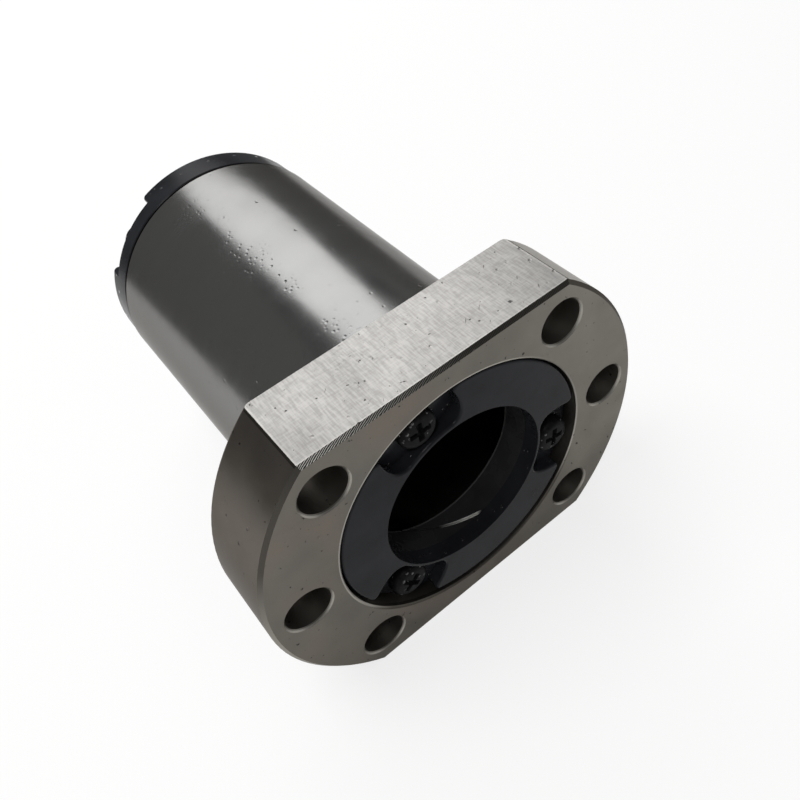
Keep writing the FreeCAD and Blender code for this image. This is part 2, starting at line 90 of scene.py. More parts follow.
def colour_prop(name, description, hex_colour):
    """A colour that a user may change, given as sRGB hex."""
    return bpy.props.FloatVectorProperty(
        name=name, description=description, subtype="COLOR", size=3, min=0.0, max=1.0,
        default=linear(hex_colour))


def length_prop(name, description, metres):
    """A length in metres that a user may change."""
    return bpy.props.FloatProperty(
        name=name, description=description, unit="LENGTH", default=metres, precision=5)


def angle_prop(name, description, degrees):
    """An angle that a user may change, given in degrees."""
    return bpy.props.FloatProperty(
        name=name, description=description, unit="ROTATION", default=math.radians(degrees))


def power_prop(name, description, watts):
    """A lamp's power in watts that a user may change."""
    return bpy.props.FloatProperty(name=name, description=description, unit="POWER", default=watts)


class NutFinishes(bpy.types.PropertyGroup):
    """Colours of the nut's finishes."""

    ground: colour_prop("Ground steel", "Outside of the body, ground on centres", "#8d8d8c")
    milled: colour_prop("Milled flats", "The flange's two flats, fresh from the milling cutter", "#b0aeab")
    # The face's colour is darker than the body's steel: partly oil, partly a painted shade of the dark that
    # it mirrors
    faced: colour_prop("Faced flange", "The flange's front face, turned, dark and oily", "#74716b")
    turned: colour_prop("Turned rim", "The flange's round rim", "#726d67")
    drilled: colour_prop("Drilled holes", "Walls of the bolt holes", "#6b6761")
    film: colour_prop("Oil film", "Brown film of dried oil on the flange's front face", "#7b6c62")
    # Dark oil in pits, and also painted into the joint at the rear cap as the shade in its gap
    oil: colour_prop("Dark oil", "Oil in pits and in the joint at the rear cap", "#141312")
    # The chamfers' dark colour is a painted shade of what they mirror; it also paints the shade line beside
    # the flat and the darker mouth of the recess
    edge: colour_prop("Flange edges", "The flange's chamfers, dulled by oil", "#4f4c47")
    # Painted highlights along the flange's edges, and painted light on its chamfers low down
    pale_highlight: colour_prop("Worn edges", "Edges that handling has rubbed bare", "#a5a29b")
    # The file marks' shine, and painted highlights on the rim and along the flat's edges
    polished: colour_prop("Polished corners", "File marks and corners that shine", "#d6d4cf")
    bored: colour_prop("Ground bore", "Bore and ball groove, under oil", "#3d3b38")
    glance: colour_prop("Glancing steel", "Tint of what the steel mirrors at a glancing angle", "#bcbab8")
    cap: colour_prop("Cap plastic", "End caps, moulded black", "#222326")
    wiper: colour_prop("Wiper plastic", "Split wiper rings", "#2a2a2b")
    deflector: colour_prop("Deflector plastic", "Inserts that turn the balls", "#2b2b2d")
    screw: colour_prop("Black screw", "Blackened steel of the cap screws", "#161617")
    # Painted highlights along the wiper's split and on its lip
    wiper_highlight: colour_prop("Wiper burr", "Whitened edges of the wiper", "#cfcfca")
    ball: colour_prop("Ball steel", "Polished bearing balls", "#d9d9d6")


class NutSizes(bpy.types.PropertyGroup):
    """Sizes of the modelled screws and balls."""

    head_round: length_prop("Head round", "Radius of the screw head's rounded edge", 0.9 * MM)
    head_height: length_prop("Head height", "Height of the screw head over its seat", 1.9 * MM)
    head_crown: length_prop("Head crown", "How far the middle of the head stands over its edge", 0.1 * MM)
    drive_width: length_prop("Drive width", "Width of an arm of the cross drive", 0.8 * MM)
    drive_span: length_prop("Drive span", "Length of the cross drive from tip to tip", 3.1 * MM)
    drive_depth: length_prop("Drive depth", "Depth of the cross drive at its middle", 1.1 * MM)
    drive_flank: length_prop("Drive flank", "Run of the cross drive's sloping walls", 0.12 * MM)
    shank_dia: length_prop("Shank diameter", "Outside of the screw thread", 3.0 * MM)
    thread_pitch: length_prop("Thread pitch", "Rise of the screw thread in a turn", 0.5 * MM)
    thread_depth: length_prop("Thread depth", "Depth of the screw thread", 0.3 * MM)
    screw_tip: length_prop("Screw tip", "Length of the chamfer at the screw's end", 0.5 * MM)
    ball_dia: length_prop("Ball diameter", "Diameter of a bearing ball", 3.175 * MM)


class NutStage(bpy.types.PropertyGroup):
    """Camera, floor, dark card and lamps."""

    azimuth: angle_prop("Azimuth", "Camera's turn about the upright axis", -30.155)
    elevation: angle_prop("Elevation", "Camera's height angle", 47.252)
    roll: angle_prop("Roll", "Camera's turn about its own line of sight", -11.608)
    distance: length_prop("Distance", "Camera's distance from its target", 127.459 * MM)
    target: bpy.props.FloatVectorProperty(
        name="Target", description="Point that the camera looks at", subtype="TRANSLATION", size=3,
        default=(10.983 * MM, 8.0 * MM, -1.186 * MM))
    lens: bpy.props.FloatProperty(
        name="Lens", description="Focal length of the camera", unit="CAMERA", default=37.643)
    shift: bpy.props.FloatVectorProperty(
        name="Shift", description="Camera's sideways and upright shift", size=2, default=(-0.05, -0.035))
    floor: colour_prop("Floor", "Pale floor", "#f4f4f3")
    flag: colour_prop("Dark card", "Card that bright metal mirrors as dark bands", "#7c7c7b")
    floor_half: length_prop("Floor half width", "Half of the floor's width", 0.8)
    top_watts: power_prop("Top lamp", "Power of the large lamp overhead", 5.0)
    fill_watts: power_prop("Fill lamp", "Power of the small lamp on the camera's side", 1.8)
    box_watts: power_prop("Softbox", "Power of the softbox behind the nut", 1.2)


def finishes():
    """The scene's finish colours."""
    return bpy.context.scene.nut_finishes


def opaque(colour):
    """A colour with full alpha, for a shader socket."""
    return (*colour, 1.0)


def add_node(tree, kind, inputs=None, **settings):
    """Adds a node, with its settings by name and its inputs by number or name.

    Each input is a value, a socket, or a node whose first output is taken.
    """
    node = tree.nodes.new(kind)
    for key, value in settings.items():
        setattr(node, key, value)
    for key, value in (inputs or {}).items():
        live = [socket for socket in node.inputs if socket.enabled]
        socket = live[key] if isinstance(key, int) else next(item for item in live if item.name == key)
        if isinstance(value, bpy.types.Node):
            value = next(item for item in value.outputs if item.enabled)
        if isinstance(value, bpy.types.NodeSocket):
            tree.links.new(value, socket)
        else:
            socket.default_value = value
    return node


def new_material(name):
    """An empty node material, with a function that adds nodes to it."""
    material = bpy.data.materials.new(name)
    material.use_nodes = True
    material.node_tree.nodes.clear()
    return material, partial(add_node, material.node_tree)


def give_material(node_name, material):
    """Puts a material into every slot of a CAD node's object."""
    node = NODES[node_name]
    if not node.material_slots:
        raise RuntimeError(f"{node_name} has no material slot")
    for slot in node.material_slots:
        slot.link = "OBJECT"
        slot.material = material


def ground_bearing_steel(colours):
    """Hardened bearing steel, ground outside, milled on the flats, faced, turned and drilled on the flange.

    It gives the eye a satin silver body with small dents, pale flats with a fine hatch, a darker satin flange
    face with specks, a brown film of oil and a painted shade low down, a rim and edges with painted
    highlights in places and painted shade in others, bright file marks on a chamfer, and dark holes.
    """
    material, add = new_material("ground_bearing_steel")
    place = add("ShaderNodeTexCoord")
    point = place.outputs["Object"]
    axes = add("ShaderNodeSeparateXYZ", {0: point})
    x, y, z = (axes.outputs[axis] for axis in "XYZ")
    height = add("ShaderNodeMath", {0: z}, operation="ABSOLUTE")
    across = add("ShaderNodeVectorMath", {0: point, 1: (1, 0, 1)}, operation="MULTIPLY")
    radius = add("ShaderNodeVectorMath", {0: across}, operation="LENGTH").outputs["Value"]
    facing = add("ShaderNodeSeparateXYZ", {0: place.outputs["Normal"]})
    side_y = add("ShaderNodeMath", {0: facing.outputs["Y"]}, operation="ABSOLUTE")
    side_z = add("ShaderNodeMath", {0: facing.outputs["Z"]}, operation="ABSOLUTE")

    # The flange's front, flats and rim, by the place and by the way that the surface faces
    before_mount = add("ShaderNodeMath", {0: y, 1: -0.03 * MM}, operation="LESS_THAN")
    at_front = add("ShaderNodeMath", {0: y, 1: FLANGE_FRONT + 0.1 * MM}, operation="LESS_THAN")
    by_front = add("ShaderNodeMath", {0: y, 1: FLANGE_FRONT + 0.7 * MM}, operation="LESS_THAN")
    flat_high = add("ShaderNodeMath", {0: height, 1: FLAT_HEIGHT - 0.1 * MM}, operation="GREATER_THAN")
    flat_up = add("ShaderNodeMath", {0: side_z, 1: 0.97}, operation="GREATER_THAN")
    on_flat = add("ShaderNodeMath", {0: flat_high, 1: flat_up}, operation="MULTIPLY")
    far_out = add("ShaderNodeMath", {0: radius, 1: RIM_RADIUS - 0.55 * MM}, operation="GREATER_THAN")
    sideways = add("ShaderNodeMath", {0: side_y, 1: 0.9}, operation="LESS_THAN")
    on_rim = add("ShaderNodeMath", {0: far_out, 1: sideways}, operation="MULTIPLY")

    # The rim has a painted highlight at its upper right, and a dark line of painted shade beside the flat
    rim_highlight = add("ShaderNodeMapRange", {"Value": x, "From Min": 8 * MM, "From Max": 20 * MM})
    dry_top = add("ShaderNodeMapRange", {"Value": z, "From Min": 4 * MM, "From Max": 20 * MM})
    for mask in (dry_top, on_rim):
        rim_highlight = add("ShaderNodeMath", {0: rim_highlight, 1: mask}, operation="MULTIPLY")
    rim_shade_line = add("ShaderNodeMath", {0: height, 1: FLAT_HEIGHT - 0.25 * MM}, operation="GREATER_THAN")
    rim_shade_line = add("ShaderNodeMath", {0: rim_shade_line, 1: on_rim}, operation="MULTIPLY")

    # The front's chamfers: painted shade above, for the dark that they mirror, and painted light low down
    slanted = add("ShaderNodeMath", {0: side_y, 1: 0.72, 2: 0.12}, operation="COMPARE")
    on_chamfer = add("ShaderNodeMath", {0: slanted, 1: by_front}, operation="MULTIPLY")
    pale_below = add("ShaderNodeMapRange", {"Value": z, "From Min": 12 * MM, "From Max": -4 * MM})
    lit_low_chamfer = add("ShaderNodeMath", {0: on_chamfer, 1: pale_below}, operation="MULTIPLY")
    flat_chamfer = add("ShaderNodeMath", {0: height, 1: FLAT_HEIGHT - 0.6 * MM}, operation="GREATER_THAN")
    level = add("ShaderNodeMath", {0: side_z, 1: 0.66}, operation="GREATER_THAN")
    for mask in (level, on_chamfer):
        flat_chamfer = add("ShaderNodeMath", {0: flat_chamfer, 1: mask}, operation="MULTIPLY")

    # The bolt holes and their edges, the bore, and the joint at the rear cap, which is painted dark oil as
    # the shade in its gap
    upright = add("ShaderNodeMath", {0: side_y, 1: 0.3}, operation="LESS_THAN")
    within = add("ShaderNodeMath", {0: radius, 1: RIM_RADIUS - 1.4 * MM}, operation="LESS_THAN")
    low = add("ShaderNodeMath", {0: height, 1: FLAT_HEIGHT - 1.0 * MM}, operation="LESS_THAN")
    inside = add("ShaderNodeMath", {0: within, 1: low}, operation="MULTIPLY")
    in_hole = add("ShaderNodeMath", {0: upright, 1: before_mount}, operation="MULTIPLY")
    in_hole = add("ShaderNodeMath", {0: in_hole, 1: inside}, operation="MULTIPLY")
    hole_edge = add("ShaderNodeMath", {0: on_chamfer, 1: inside}, operation="MULTIPLY")
    in_bore = add("ShaderNodeMath", {0: radius, 1: 16.5 * MM}, operation="LESS_THAN")
    joint_shade = add("ShaderNodeMath", {0: y, 1: 52.05 * MM}, operation="GREATER_THAN")

    # Painted highlights along edges: the flat's front and ends, the holes' edges and the mouth of the recess
    flat_end = add("ShaderNodeMath", {0: radius, 1: RIM_RADIUS - 0.14 * MM}, operation="GREATER_THAN")
    flat_front = add("ShaderNodeMath", {0: y, 1: FLANGE_FRONT + 0.66 * MM}, operation="LESS_THAN")
    flat_edge_highlight = add("ShaderNodeMath", {0: flat_end, 1: flat_front}, operation="MAXIMUM")
    for mask in (on_flat, 0.4):
        flat_edge_highlight = add("ShaderNodeMath", {0: flat_edge_highlight, 1: mask}, operation="MULTIPLY")
    hole_highlight = add("ShaderNodeMath", {0: y, 1: FLANGE_FRONT + 0.18 * MM}, operation="LESS_THAN")
    for mask in (hole_edge, 0.7):
        hole_highlight = add("ShaderNodeMath", {0: hole_highlight, 1: mask}, operation="MULTIPLY")
    recess_highlight = add("ShaderNodeMath", {0: radius, 1: 20.42 * MM}, operation="LESS_THAN")
    # The painted highlight at the mouth of the recess fades out low down and on the right
    rubbed = add("ShaderNodeMapRange", {"Value": z, "From Min": -11 * MM, "From Max": -6 * MM})
    highlight_left = add("ShaderNodeMapRange", {"Value": x, "From Min": 16 * MM, "From Max": 8 * MM})
    for mask in (at_front, rubbed, highlight_left):
        recess_highlight = add("ShaderNodeMath", {0: recess_highlight, 1: mask}, operation="MULTIPLY")

    # The mouth of the recess is darker low down
    dark_low_mouth = add("ShaderNodeMapRange", {"Value": z, "From Min": -8 * MM, "From Max": -13 * MM})
    in_mouth = add("ShaderNodeMath", {0: radius, 1: 20.55 * MM}, operation="LESS_THAN")
    for mask in (in_mouth, by_front):
        dark_low_mouth = add("ShaderNodeMath", {0: dark_low_mouth, 1: mask}, operation="MULTIPLY")

    # Grinding lines, really about 0.02 mm apart, are drawn 0.15 mm apart so that they show
    grind_place = add("ShaderNodeVectorMath", {
        0: point, 1: (50, 1 / (0.15 * MM), 50)}, operation="MULTIPLY")
    grind = add("ShaderNodeTexNoise", {
        "Vector": grind_place, "Scale": 1.0, "Detail": 3.0, "Roughness": 0.6})

    # Cutter lines on the flats, 0.2 mm apart and 1 to 2 mm long, strong across the flat and weak along it
    mill_place = add("ShaderNodeVectorMath", {
        0: point, 1: (1 / (0.2 * MM), 1 / (1.8 * MM), 60)}, operation="MULTIPLY")
    mill = add("ShaderNodeTexNoise", {"Vector": mill_place, "Scale": 1.0, "Detail": 1.0})
    cross_place = add("ShaderNodeVectorMath", {
        0: point, 1: (1 / (1.2 * MM), 1 / (0.2 * MM), 60)}, operation="MULTIPLY")
    cross = add("ShaderNodeTexNoise", {"Vector": cross_place, "Scale": 1.0, "Detail": 1.0})
    hatch = add("ShaderNodeMix", {"Factor": 0.35, "A": mill, "B": cross}, data_type="FLOAT")

    # Short dark scratches on the flats, 0.2 mm wide and 1 mm long
    scratch_place = add("ShaderNodeMapping", {"Vector": point, "Rotation": (0, 0, math.radians(35))})
    scratch_place = add("ShaderNodeVectorMath", {
        0: scratch_place, 1: (1 / (0.4 * MM), 1 / (2.0 * MM), 60)}, operation="MULTIPLY")
    scratch = add("ShaderNodeTexNoise", {"Vector": scratch_place, "Scale": 1.0, "Detail": 1.0})
    scratches = add("ShaderNodeMapRange", {
        "Value": scratch, "From Min": 0.75, "From Max": 0.8, "To Max": 0.6})
    scratches = add("ShaderNodeMath", {0: scratches, 1: on_flat}, operation="MULTIPLY")

    # Facing lines, 0.4 mm apart in radius
    ring_number = add("ShaderNodeMath", {0: radius, 1: 1 / (0.4 * MM)}, operation="MULTIPLY")
    ring_place = add("ShaderNodeCombineXYZ", {"X": ring_number})
    facing_lines = add("ShaderNodeTexNoise", {"Vector": ring_place, "Scale": 1.0, "Detail": 2.0})

    # Cloudy stains about 6 mm wide, and a brown film in patches of 12 mm on the front's left
    cloud = add("ShaderNodeTexNoise", {"Vector": point, "Scale": 1 / (6 * MM), "Detail": 3.0})
    film = add("ShaderNodeTexNoise", {"Vector": point, "Scale": 1 / (12 * MM), "Detail": 2.0})
    film = add("ShaderNodeMapRange", {"Value": film, "From Min": 0.42, "From Max": 0.62, "To Max": 0.3})
    film_side = add("ShaderNodeMapRange", {"Value": x, "From Min": 12 * MM, "From Max": 2 * MM})
    for mask in (film_side, at_front):
        film = add("ShaderNodeMath", {0: film, 1: mask}, operation="MULTIPLY")

    # Specks of oil of 0.4 mm, fewer on the body than on the flange, and a waviness of 1.5 mm
    speck = add("ShaderNodeTexNoise", {
        "Vector": point, "Scale": 1 / (0.9 * MM), "Detail": 2.0, "Roughness": 0.6})
    specks = add("ShaderNodeMapRange", {"Value": speck, "From Min": 0.7, "From Max": 0.74})
    speck_part = add("ShaderNodeMapRange", {"Value": before_mount, "To Min": 0.25, "To Max": 1.0})
    specks = add("ShaderNodeMath", {0: specks, 1: speck_part}, operation="MULTIPLY")
    stain = add("ShaderNodeMath", {0: specks, 1: 0.75}, operation="MULTIPLY")
    wave = add("ShaderNodeTexNoise", {
        "Vector": point, "Scale": 1 / (1.5 * MM), "Detail": 3.0, "Roughness": 0.6})

    # Round dents of 0.6 mm in clusters, some 2.2 mm apart, of which six in ten are there
    dent = add("ShaderNodeTexVoronoi", {"Vector": point, "Scale": 1 / (2.2 * MM)})
    dents = add("ShaderNodeMapRange", {
        "Value": dent.outputs["Distance"], "From Min": 0.02, "From Max": 0.14, "To Min": 1.0, "To Max": 0.0},
        interpolation_type="SMOOTHSTEP")
    cluster = add("ShaderNodeMapRange", {"Value": cloud, "From Min": 0.4, "From Max": 0.5})
    dent_pick = add("ShaderNodeSeparateColor", {0: dent.outputs["Color"]})
    dent_some = add("ShaderNodeMath", {0: dent_pick.outputs["Red"], 1: 0.4}, operation="GREATER_THAN")
    for mask in (cluster, dent_some):
        dents = add("ShaderNodeMath", {0: dents, 1: mask}, operation="MULTIPLY")

    # Pits of 0.4 mm, close together in patches beside the body's top line
    pit = add("ShaderNodeTexVoronoi", {"Vector": point, "Scale": 1 / (0.8 * MM)})
    pits = add("ShaderNodeMapRange", {
        "Value": pit.outputs["Distance"], "From Min": 0.05, "From Max": 0.4, "To Min": 1.0, "To Max": 0.0},
        interpolation_type="SMOOTHSTEP")
    pit_side = add("ShaderNodeMath", {0: x, 1: -5 * MM, 2: 4 * MM}, operation="COMPARE")
    pit_top = add("ShaderNodeMath", {0: z, 1: 15 * MM}, operation="GREATER_THAN")
    pit_part = add("ShaderNodeMapRange", {"Value": cloud, "From Min": 0.47, "From Max": 0.57})
    for mask in (pit_side, pit_top, pit_part):
        pits = add("ShaderNodeMath", {0: pits, 1: mask}, operation="MULTIPLY")

    # File marks on the flat's front chamfer, 0.5 mm apart along it and slanting, strongest at its left end
    mark_run = add("ShaderNodeVectorMath", {0: point, 1: (1, -3, 0)}, operation="DOT_PRODUCT")
    mark_run = add("ShaderNodeMath", {0: mark_run, 1: 2 * math.pi / (0.5 * MM)}, operation="MULTIPLY")
    mark_run = add("ShaderNodeMath", {0: wave, 1: 12.0, 2: mark_run}, operation="MULTIPLY_ADD")
    mark_wave = add("ShaderNodeMath", {0: mark_run}, operation="SINE")
    mark_part = add("ShaderNodeMapRange", {
        "Value": x, "From Min": -17 * MM, "From Max": 4 * MM, "To Min": 1.0, "To Max": 0.08})
    mark_part = add("ShaderNodeMath", {0: mark_part, 1: flat_chamfer}, operation="MULTIPLY")
    bright_marks = add("ShaderNodeMapRange", {"Value": mark_wave, "From Min": 0.1, "From Max": 0.8})
    bright_marks = add("ShaderNodeMath", {0: bright_marks, 1: mark_part}, operation="MULTIPLY")
    dark_marks = add("ShaderNodeMapRange", {"Value": mark_wave, "From Min": -0.2, "From Max": -0.8})
    dark_marks = add("ShaderNodeMath", {0: dark_marks, 1: mark_part}, operation="MULTIPLY")

    # How uneven the large finishes are: the face and the rim are darker low down, a painted shade, and
    # lighter on their right
    ground_tint = add("ShaderNodeMapRange", {
        "Value": grind, "From Min": 0.3, "From Max": 0.7, "To Min": 0.97, "To Max": 1.03})
    mill_tint = add("ShaderNodeMapRange", {
        "Value": hatch, "From Min": 0.38, "From Max": 0.62, "To Min": 0.84, "To Max": 1.12})
    face_tint = add("ShaderNodeMapRange", {
        "Value": cloud, "From Min": 0.3, "From Max": 0.7, "To Min": 0.88, "To Max": 1.1})
    shade_low = add("ShaderNodeMapRange", {
        "Value": z, "From Min": -23 * MM, "From Max": -12 * MM, "To Min": 0.85, "To Max": 1.0})
    lighter_right = add("ShaderNodeMapRange", {
        "Value": x, "From Min": 8 * MM, "From Max": 20 * MM, "To Min": 1.0, "To Max": 1.22})
    for part in (shade_low, lighter_right):
        face_tint = add("ShaderNodeMath", {0: face_tint, 1: part}, operation="MULTIPLY")

    # Colours of the finishes, each laid over those before it
    finish = {}
    for name in ("film", "drilled", "oil", "edge", "pale_highlight", "polished", "bored"):
        finish[name] = opaque(getattr(colours, name))
    for name, tint in (
        ("ground", ground_tint), ("milled", mill_tint), ("faced", face_tint), ("turned", face_tint),
    ):
        finish[name] = add("ShaderNodeVectorMath", {
            0: getattr(colours, name), "Scale": tint}, operation="SCALE")
    colour = finish["ground"]
    # Some of these are painted light: highlights on the rim, the flat's edges, the holes' edges and the
    # recess's mouth, and shade on the chamfers, beside the flat and in the joint at the rear cap
    for mask, name in (
        (at_front, "faced"), (film, "film"), (on_rim, "turned"), (rim_highlight, "polished"), (rim_shade_line, "edge"),
        (on_flat, "milled"), (in_hole, "drilled"), (in_bore, "bored"), (joint_shade, "oil"),
        (on_chamfer, "edge"), (lit_low_chamfer, "pale_highlight"), (hole_edge, "faced"), (hole_highlight, "pale_highlight"),
        (dark_low_mouth, "edge"), (flat_edge_highlight, "polished"), (recess_highlight, "pale_highlight"), (bright_marks, "polished"),
        (dark_marks, "bored"), (scratches, "bored"), (stain, "oil"),
    ):
        colour = add("ShaderNodeMix", {"Factor": mask, "A": colour, "B": finish[name]}, data_type="RGBA")

    # Roughness of each finish, a little cloudy
    rough = add("ShaderNodeMapRange", {
        "Value": grind, "From Min": 0.3, "From Max": 0.7, "To Min": 0.2, "To Max": 0.24})
    for mask, value in (
        (at_front, 0.42), (on_rim, 0.34), (on_flat, 0.42), (in_hole, 0.5), (in_bore, 0.3), (on_chamfer, 0.35),
    ):
        rough = add("ShaderNodeMix", {"Factor": mask, "A": rough, "B": value}, data_type="FLOAT")
    patchy = add("ShaderNodeMapRange", {
        "Value": cloud, "From Min": 0.3, "From Max": 0.7, "To Min": -0.03, "To Max": 0.04})
    rough = add("ShaderNodeMath", {0: rough, 1: patchy}, operation="ADD")

    # Heights in hundredths of a millimetre
    lines = add("ShaderNodeMath", {0: grind, 1: 0.02}, operation="MULTIPLY")
    lines = add("ShaderNodeMath", {0: wave, 1: 0.6, 2: lines}, operation="MULTIPLY_ADD")
    cut_lines = add("ShaderNodeMath", {0: hatch, 1: 0.25}, operation="MULTIPLY")
    turned_lines = add("ShaderNodeMath", {0: facing_lines, 1: 0.2}, operation="MULTIPLY")
    relief = add("ShaderNodeMix", {"Factor": on_flat, "A": lines, "B": cut_lines}, data_type="FLOAT")
    relief = add("ShaderNodeMix", {"Factor": at_front, "A": relief, "B": turned_lines}, data_type="FLOAT")
    for hollows, depth in ((specks, 1.5), (dents, 5.0), (pits, 2.0)):
        relief = add("ShaderNodeMath", {0: hollows, 1: -depth, 2: relief}, operation="MULTIPLY_ADD")
    bump = add("ShaderNodeBump", {"Strength": 1.0, "Distance": 0.01 * MM, "Height": relief})

    # The file's torn marks scatter the light, as a matt surface does
    metal = add("ShaderNodeMapRange", {"Value": bright_marks, "To Min": 1.0, "To Max": 0.3})
    shader = add("ShaderNodeBsdfPrincipled", {
        "Base Color": colour, "Metallic": metal, "Roughness": rough, "Normal": bump,
        "Specular Tint": opaque(colours.glance)})
    add("ShaderNodeOutputMaterial", {"Surface": shader})
    return material


def oil_drops(add, point, apart_mm, share):
    """A mask of oil drops and their domed height, where a share of the places in a loose pattern hold one."""
    drop = add("ShaderNodeTexVoronoi", {"Vector": point, "Scale": 1 / (apart_mm * MM)})
    dome = add("ShaderNodeMapRange", {
        "Value": drop.outputs["Distance"], "From Min": 0.0, "From Max": 0.34, "To Min": 1.0, "To Max": 0.0},
        interpolation_type="SMOOTHERSTEP")
    pick = add("ShaderNodeSeparateColor", {0: drop.outputs["Color"]})
    some = add("ShaderNodeMath", {0: pick.outputs["Red"], 1: share}, operation="LESS_THAN")
    dome = add("ShaderNodeMath", {0: dome, 1: some}, operation="MULTIPLY")
    wet = add("ShaderNodeMath", {0: dome, 1: 0.02}, operation="GREATER_THAN")
    return wet, dome


def moulded_black_acetal(
        name, colour, gloss, peel_mm, peel_depth_mm, drops_between=None, split_highlights=(), highlight_lip_mm=None):
    """Black acetal, moulded and wet with oil.

    It gives the eye a near black gloss that mirrors its surroundings faintly, with a fine peel and patches of
    oil 5 mm wide. It may have drops of oil between two distances from the nut's middle, painted highlights
    along the edges of a split, each split a plane's normal and distance, and a faint painted highlight on a
    lip at a distance from the nut's middle. The lengths are in millimetres.
    """
    material, add = new_material(name)
    point = add("ShaderNodeTexCoord").outputs["Object"]
    axes = add("ShaderNodeSeparateXYZ", {0: point})
    from_middle = add("ShaderNodeMath", {0: axes.outputs["Y"], 1: NUT_MIDDLE}, operation="SUBTRACT")
    from_middle = add("ShaderNodeMath", {0: from_middle}, operation="ABSOLUTE")
    film = add("ShaderNodeTexNoise", {"Vector": point, "Scale": 1 / (5 * MM), "Detail": 3.0})
    peel = add("ShaderNodeTexNoise", {"Vector": point, "Scale": 1 / (peel_mm * MM), "Detail": 2.0})
    tint = add("ShaderNodeMapRange", {
        "Value": film, "From Min": 0.3, "From Max": 0.7, "To Min": 0.8, "To Max": 1.25})
    tinted = add("ShaderNodeVectorMath", {0: colour, "Scale": tint}, operation="SCALE")
    rough = add("ShaderNodeMapRange", {
        "Value": film, "From Min": 0.35, "From Max": 0.65, "To Min": gloss, "To Max": gloss + 0.12})
    bump = add("ShaderNodeBump", {"Strength": 0.4, "Distance": peel_depth_mm * MM, "Height": peel})
    pale = []
    for normal, distance_mm in split_highlights:
        # The split's two edges lie an eighth of a millimetre either side of its plane, with a painted
        # highlight beyond
        off = add("ShaderNodeVectorMath", {0: point, 1: normal}, operation="DOT_PRODUCT")
        off = add("ShaderNodeMath", {0: off, 1: distance_mm * MM}, operation="SUBTRACT")
        off = add("ShaderNodeMath", {0: off}, operation="ABSOLUTE")
        wiper_highlight = add("ShaderNodeMath", {0: off, 1: 0.24 * MM}, operation="LESS_THAN")
        # The painted highlight shows only near the bore's lowest line, on both sides of it
        for start, end in ((-3, 1), (3.4, 2.6)):
            highlight_part = add("ShaderNodeMapRange", {
                "Value": axes.outputs["X"], "From Min": start * MM, "From Max": end * MM})
            wiper_highlight = add("ShaderNodeMath", {0: wiper_highlight, 1: highlight_part}, operation="MULTIPLY")
        pale.append(wiper_highlight)
    if highlight_lip_mm:
        # A faint painted highlight on the wiper's lip
        lip = add("ShaderNodeMath", {0: from_middle, 1: highlight_lip_mm * MM, 2: 0.14 * MM}, operation="COMPARE")
        pale.append(add("ShaderNodeMath", {0: lip, 1: 0.07}, operation="MULTIPLY"))
    for mask in pale:
        tinted = add("ShaderNodeMix", {
            "Factor": mask, "A": tinted, "B": opaque(finishes().wiper_highlight)}, data_type="RGBA")
    inputs = {"Base Color": tinted, "Roughness": rough, "Specular IOR Level": 0.07, "Normal": bump}
    if drops_between:
        wet, dome = oil_drops(add, point, apart_mm=0.9, share=0.3)
        near, far = drops_between
        band = add("ShaderNodeMath", {
            0: from_middle, 1: (near + far) / 2 * MM, 2: (far - near) / 2 * MM}, operation="COMPARE")
        inputs["Coat Weight"] = add("ShaderNodeMath", {0: wet, 1: band}, operation="MULTIPLY")
        inputs["Coat Normal"] = add("ShaderNodeBump", {"Distance": 0.12 * MM, "Height": dome})
    add("ShaderNodeOutputMaterial", {"Surface": add("ShaderNodeBsdfPrincipled", inputs)})
    return material


def blackened_steel(colour):
    """Steel screws, blackened and oiled.

    It gives the eye a dull black with small bright glints where the oil stands in drops.
    """
    material, add = new_material("blackened_steel")
    point = add("ShaderNodeTexCoord").outputs["Object"]
    film = add("ShaderNodeTexNoise", {"Vector": point, "Scale": 1 / (0.7 * MM), "Detail": 3.0})
    tint = add("ShaderNodeMapRange", {
        "Value": film, "From Min": 0.3, "From Max": 0.7, "To Min": 0.7, "To Max": 1.4})
    tinted = add("ShaderNodeVectorMath", {0: colour, "Scale": tint}, operation="SCALE")
    rough = add("ShaderNodeMapRange", {
        "Value": film, "From Min": 0.35, "From Max": 0.65, "To Min": 0.3, "To Max": 0.5})
    wet, dome = oil_drops(add, point, apart_mm=0.8, share=0.5)
    bump = add("ShaderNodeBump", {"Strength": 0.5, "Distance": 0.02 * MM, "Height": film})
    beads = add("ShaderNodeBump", {"Strength": 1.0, "Distance": 0.16 * MM, "Height": dome})
    shader = add("ShaderNodeBsdfPrincipled", {
        "Base Color": tinted, "Metallic": 0.1, "Roughness": rough, "Specular IOR Level": 0.03, "Normal": bump,
        "Coat Weight": wet, "Coat Roughness": 0.04, "Coat Normal": beads})
    add("ShaderNodeOutputMaterial", {"Surface": shader})
    return material


def polished_ball_steel(colour):
    """Bearing steel balls, lapped and oiled.

    It gives the eye a mirror, a little clouded by a film of oil in patches of about 1 mm.
    """
    material, add = new_material("polished_ball_steel")
    point = add("ShaderNodeTexCoord").outputs["Object"]
    film = add("ShaderNodeTexNoise", {"Vector": point, "Scale": 1 / (1.2 * MM), "Detail": 3.0})
    tint = add("ShaderNodeMapRange", {
        "Value": film, "From Min": 0.3, "From Max": 0.7, "To Min": 0.85, "To Max": 1.0})
    tinted = add("ShaderNodeVectorMath", {0: colour, "Scale": tint}, operation="SCALE")
    rough = add("ShaderNodeMapRange", {
        "Value": film, "From Min": 0.4, "From Max": 0.7, "To Min": 0.06, "To Max": 0.18})
    shader = add("ShaderNodeBsdfPrincipled", {"Base Color": tinted, "Metallic": 1.0, "Roughness": rough})
    add("ShaderNodeOutputMaterial", {"Surface": shader})
    return material


